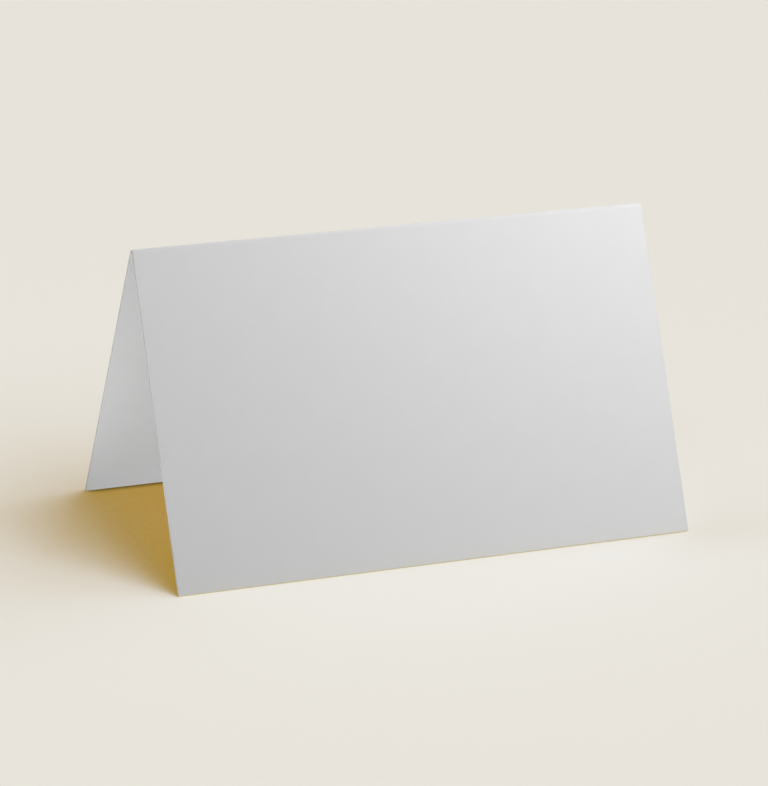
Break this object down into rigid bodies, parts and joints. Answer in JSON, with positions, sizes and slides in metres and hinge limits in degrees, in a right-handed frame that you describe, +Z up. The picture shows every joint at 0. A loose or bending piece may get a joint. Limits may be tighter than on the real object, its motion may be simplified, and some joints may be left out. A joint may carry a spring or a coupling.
{
  "type": "place card",
  "caption": "Blank tent place card: stiff white card, creased across its middle and folded so that it stands on its cut edges to carry a guest's name.",
  "frame": {"origin": "on the table, under the middle of the fold", "axes": "+Z up; +X along the fold; +Y from the front leaf to the rear leaf"},
  "size_m": [0.09, 0.0492, 0.0503],
  "materials": {
    "card_stock": "plain uncoated white card, matt, with a faint fibre grain; its trimmed edges are a little rougher"
  },
  "bodies": {
    "root": {"card": "card_stock"}
  },
  "joints": []
}
